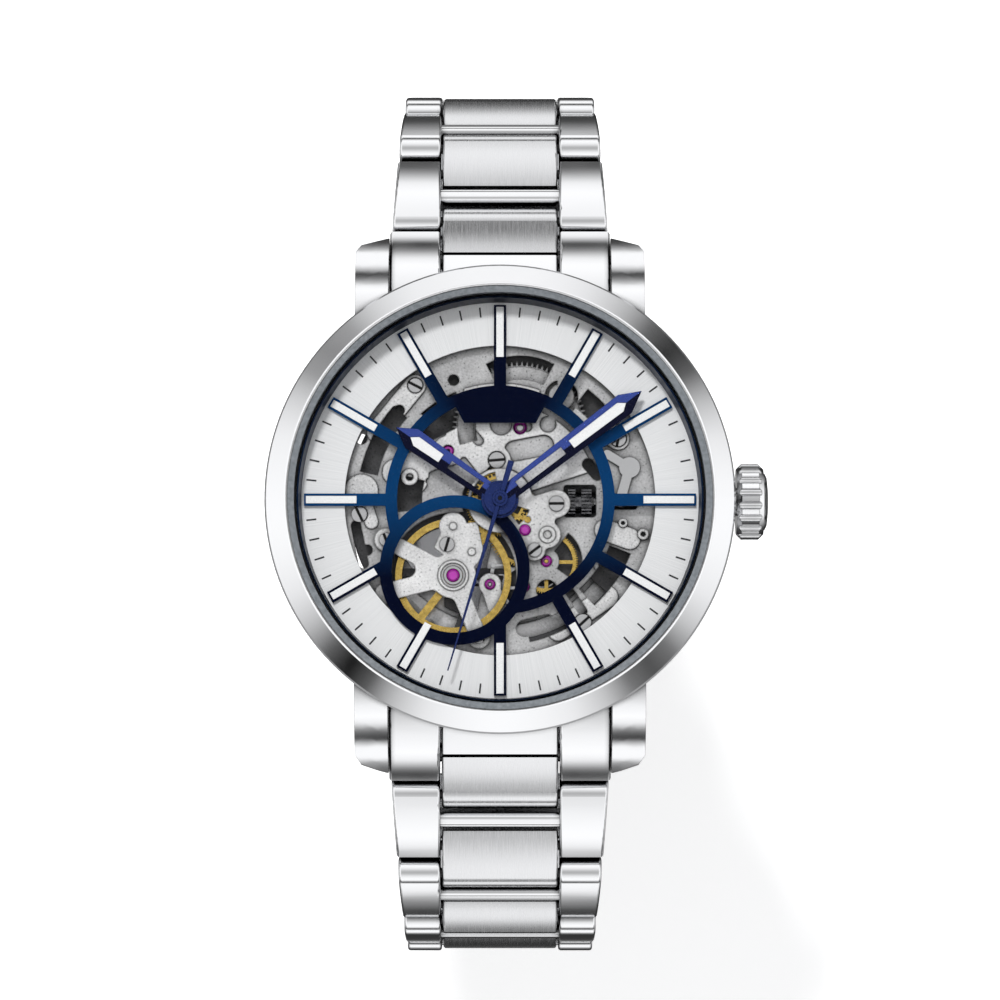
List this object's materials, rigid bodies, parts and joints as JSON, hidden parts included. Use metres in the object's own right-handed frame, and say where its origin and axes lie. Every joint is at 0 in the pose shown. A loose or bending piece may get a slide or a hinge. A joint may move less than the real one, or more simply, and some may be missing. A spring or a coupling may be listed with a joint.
{
  "type": "skeleton wristwatch",
  "caption": "Automatic wristwatch with a blue skeleton dial over its movement, baton hands, and a closed steel link bracelet with a folding clasp.",
  "frame": {"origin": "on the axis of the hands, in the plane of the case back's outer face", "axes": "+Z out of the dial, +Y to 12 o'clock along the bracelet, +X to the crown"},
  "size_m": [0.045, 0.08, 0.0553],
  "materials": {
    "polished_steel": "mirror polished stainless steel",
    "brushed_steel": "fine circular brushing",
    "bracelet_steel": "polished outer pieces, lengthwise brushed centre pieces",
    "crystal": "clear flat crystal",
    "seal": "grey nylon and rubber seals",
    "blue_lacquer": "dark blue lacquer with a fine grain",
    "silver_dial": "silver sunray brushed",
    "white_lume": "white luminous paint",
    "nickel_plate": "nickel plated and frosted",
    "ruby": "polished synthetic ruby",
    "blued_steel": "blue, polished facets",
    "gilt_brass": "gilt",
    "dark_steel": "dark oiled steel"
  },
  "bodies": {
    "case": {"mid_case": "polished_steel", "bezel": "polished_steel", "crystal": "crystal", "gaskets": "seal", "rehaut_ring": "blue_lacquer", "case_back": "brushed_steel", "case_back_glass": "crystal", "crown_tube": "polished_steel", "end_links": "bracelet_steel", "spring_bars": "brushed_steel", "movement_ring": "nickel_plate", "dial_ring": "silver_dial", "dial_frame": "blue_lacquer", "hour_markers": "white_lume", "main_plate": "nickel_plate", "train_bridge": "nickel_plate", "balance_bridge": "nickel_plate", "pallet_bridge": "nickel_plate", "motion_works_cover": "nickel_plate", "plate_jewels": "ruby", "plate_screws": "polished_steel", "hairspring": "blued_steel"},
    "seconds": {"seconds_hand": "blued_steel", "seconds_pinion": "polished_steel"},
    "minutes": {"minute_hand": "blued_steel", "centre_wheel": "gilt_brass"},
    "hours": {"hour_hand": "blued_steel", "hour_wheel": "gilt_brass"},
    "minute_train": {"minute_wheel": "gilt_brass"},
    "third": {"third_wheel": "gilt_brass"},
    "fourth": {"fourth_wheel": "gilt_brass"},
    "escape": {"escape_wheel": "polished_steel"},
    "barrel": {"mainspring_barrel": "nickel_plate"},
    "ratchet": {"ratchet_wheel": "polished_steel"},
    "pallet": {"pallet_fork": "polished_steel"},
    "balance": {"balance_wheel": "gilt_brass"},
    "winding_rotor": {"rotor": "nickel_plate"},
    "clutch": {"sliding_pinion": "dark_steel"},
    "winding_crown": {"crown": "polished_steel", "winding_stem": "polished_steel"},
    "lever": {"setting_lever": "polished_steel"},
    "clasp_inner": {"clasp_blade_inner": "polished_steel"},
    "clasp_middle": {"clasp_blade_middle": "polished_steel"},
    "clasp_outer": {"clasp_cover": "bracelet_steel"},
    "button_right": {"clasp_button_right": "polished_steel"},
    "button_left": {"clasp_button_left": "polished_steel"},
    "upper_1": {"upper_link_1": "bracelet_steel"},
    "lower_1": {"lower_link_1": "bracelet_steel"},
    "upper_2": {"upper_link_2": "bracelet_steel"},
    "lower_2": {"lower_link_2": "bracelet_steel"},
    "upper_3": {"upper_link_3": "bracelet_steel"},
    "lower_3": {"lower_link_3": "bracelet_steel"},
    "upper_4": {"upper_link_4": "bracelet_steel"},
    "lower_4": {"lower_link_4": "bracelet_steel"},
    "upper_5": {"upper_link_5": "bracelet_steel"},
    "lower_5": {"lower_link_5": "bracelet_steel"},
    "upper_6": {"upper_link_6": "bracelet_steel"},
    "lower_6": {"lower_link_6": "bracelet_steel"},
    "upper_7": {"upper_link_7": "bracelet_steel"},
    "lower_7": {"lower_link_7": "bracelet_steel"}
  },
  "joints": [
    {"name": "seconds_turn", "type": "hinge", "parent": "case", "child": "seconds", "pos_m": [0, 0, 0.0092], "axis": [0, 0, -1], "continuous": true},
    {"name": "minutes_turn", "type": "hinge", "parent": "case", "child": "minutes", "pos_m": [0, 0, 0.00865], "axis": [0, 0, -1], "continuous": true},
    {"name": "hours_turn", "type": "hinge", "parent": "case", "child": "hours", "pos_m": [0, 0, 0.00805], "axis": [0, 0, -1], "continuous": true},
    {"name": "minute_wheel_turn", "type": "hinge", "parent": "case", "child": "minute_train", "pos_m": [0.00246, -0.00172, 0.0064], "axis": [0, 0, -1], "continuous": true},
    {"name": "third_wheel_turn", "type": "hinge", "parent": "case", "child": "third", "pos_m": [0.00208, -0.0027, 0.0046], "axis": [0, 0, -1], "continuous": true},
    {"name": "fourth_wheel_turn", "type": "hinge", "parent": "case", "child": "fourth", "pos_m": [0.00415, -0.0054, 0.0052], "axis": [0, 0, -1], "continuous": true},
    {"name": "escape_wheel_turn", "type": "hinge", "parent": "case", "child": "escape", "pos_m": [0.0022, -0.0077, 0.0049], "axis": [0, 0, -1], "continuous": true},
    {"name": "barrel_turn", "type": "hinge", "parent": "case", "child": "barrel", "pos_m": [0.0018, 0.0066, 0.0049], "axis": [0, 0, -1], "continuous": true},
    {"name": "rotor_turn", "type": "hinge", "parent": "case", "child": "winding_rotor", "pos_m": [0, 0, 0.0029], "axis": [0, 0, -1], "continuous": true},
    {"name": "balance_swing", "type": "hinge", "parent": "case", "child": "balance", "pos_m": [-0.00419, -0.00671, 0.0056], "axis": [0, 0, 1], "range_deg": [-135, 135]},
    {"name": "pallet_rock", "type": "hinge", "parent": "case", "child": "pallet", "pos_m": [-0.0009, -0.0074, 0.0049], "axis": [0, 0, 1], "range_deg": [-5, 5]},
    {"name": "crown_turn", "type": "hinge", "parent": "case", "child": "clutch", "pos_m": [0.007, 0, 0.0053], "axis": [1, 0, 0], "continuous": true},
    {"name": "crown_pull", "type": "slide", "parent": "clutch", "child": "winding_crown", "axis": [1, 0, 0], "range_m": [0, 0.001]},
    {"name": "ratchet_turn", "type": "hinge", "parent": "case", "child": "ratchet", "pos_m": [0.0018, 0.0066, 0.0036], "axis": [0, 0, -1], "continuous": true},
    {"name": "setting_lever_turn", "type": "hinge", "parent": "case", "child": "lever", "pos_m": [0.0116, 0.003, 0.0064], "axis": [0, 0, 1], "range_deg": [0, 19.2]},
    {"name": "upper_link_1_hinge", "type": "hinge", "parent": "case", "child": "upper_1", "pos_m": [0, 0.026, 0.0004], "axis": [1, 0, 0], "range_deg": [0, 12]},
    {"name": "upper_link_2_hinge", "type": "hinge", "parent": "upper_1", "child": "upper_2", "pos_m": [0, 0.03304, -0.00189], "axis": [1, 0, 0], "range_deg": [0, 42]},
    {"name": "upper_link_3_hinge", "type": "hinge", "parent": "upper_2", "child": "upper_3", "pos_m": [0, 0.03718, -0.00802], "axis": [1, 0, 0], "range_deg": [0, 28]},
    {"name": "upper_link_4_hinge", "type": "hinge", "parent": "upper_3", "child": "upper_4", "pos_m": [0, 0.03846, -0.01531], "axis": [1, 0, 0], "range_deg": [0, 22]},
    {"name": "upper_link_5_hinge", "type": "hinge", "parent": "upper_4", "child": "upper_5", "pos_m": [0, 0.03743, -0.02264], "axis": [1, 0, 0], "range_deg": [0, 22]},
    {"name": "upper_link_6_hinge", "type": "hinge", "parent": "upper_5", "child": "upper_6", "pos_m": [0, 0.03419, -0.02929], "axis": [1, 0, 0], "range_deg": [0, 28]},
    {"name": "upper_link_7_hinge", "type": "hinge", "parent": "upper_6", "child": "upper_7", "pos_m": [0, 0.02852, -0.03404], "axis": [1, 0, 0], "range_deg": [0, 27]},
    {"name": "lower_link_1_hinge", "type": "hinge", "parent": "case", "child": "lower_1", "pos_m": [0, -0.026, 0.0004], "axis": [-1, 0, 0], "range_deg": [0, 12]},
    {"name": "lower_link_2_hinge", "type": "hinge", "parent": "lower_1", "child": "lower_2", "pos_m": [0, -0.03304, -0.00189], "axis": [-1, 0, 0], "range_deg": [0, 42]},
    {"name": "lower_link_3_hinge", "type": "hinge", "parent": "lower_2", "child": "lower_3", "pos_m": [0, -0.03718, -0.00802], "axis": [-1, 0, 0], "range_deg": [0, 28]},
    {"name": "lower_link_4_hinge", "type": "hinge", "parent": "lower_3", "child": "lower_4", "pos_m": [0, -0.03846, -0.01531], "axis": [-1, 0, 0], "range_deg": [0, 22]},
    {"name": "lower_link_5_hinge", "type": "hinge", "parent": "lower_4", "child": "lower_5", "pos_m": [0, -0.03743, -0.02264], "axis": [-1, 0, 0], "range_deg": [0, 22]},
    {"name": "lower_link_6_hinge", "type": "hinge", "parent": "lower_5", "child": "lower_6", "pos_m": [0, -0.03419, -0.02929], "axis": [-1, 0, 0], "range_deg": [0, 28]},
    {"name": "lower_link_7_hinge", "type": "hinge", "parent": "lower_6", "child": "lower_7", "pos_m": [0, -0.02852, -0.03404], "axis": [-1, 0, 0], "range_deg": [0, 27]},
    {"name": "clasp_strand_hinge", "type": "hinge", "parent": "upper_7", "child": "clasp_inner", "pos_m": [0, 0.02144, -0.03621], "axis": [1, 0, 0], "range_deg": [0, 20]},
    {"name": "clasp_unfold", "type": "hinge", "parent": "clasp_inner", "child": "clasp_middle", "pos_m": [0, -0.01769, -0.03803], "axis": [-1, 0, 0], "range_deg": [0, 150]},
    {"name": "clasp_cover_hinge", "type": "hinge", "parent": "clasp_middle", "child": "clasp_outer", "pos_m": [0, 0.01801, -0.03908], "axis": [-1, 0, 0], "range_deg": [-150, 0]},
    {"name": "button_right_press", "type": "slide", "parent": "clasp_outer", "child": "button_right", "axis": [-1, 0, 0], "range_m": [0, 0.0006]},
    {"name": "button_left_press", "type": "slide", "parent": "clasp_outer", "child": "button_left", "axis": [1, 0, 0], "range_m": [0, 0.0006]}
  ],
  "couplings": [
    {"joint": "minutes_turn", "follows": "seconds_turn", "ratio": 0.016667},
    {"joint": "hours_turn", "follows": "seconds_turn", "ratio": 0.0013889},
    {"joint": "minute_wheel_turn", "follows": "seconds_turn", "ratio": -0.0055556},
    {"joint": "third_wheel_turn", "follows": "seconds_turn", "ratio": -0.13333},
    {"joint": "fourth_wheel_turn", "follows": "seconds_turn", "ratio": 1},
    {"joint": "escape_wheel_turn", "follows": "seconds_turn", "ratio": -12},
    {"joint": "barrel_turn", "follows": "seconds_turn", "ratio": -0.0025},
    {"joint": "ratchet_turn", "follows": "crown_turn", "ratio": 0.25},
    {"joint": "setting_lever_turn", "follows": "crown_pull", "rad_per_m": 333.33},
    {"joint": "clasp_cover_hinge", "follows": "clasp_unfold", "ratio": -1}
  ]
}
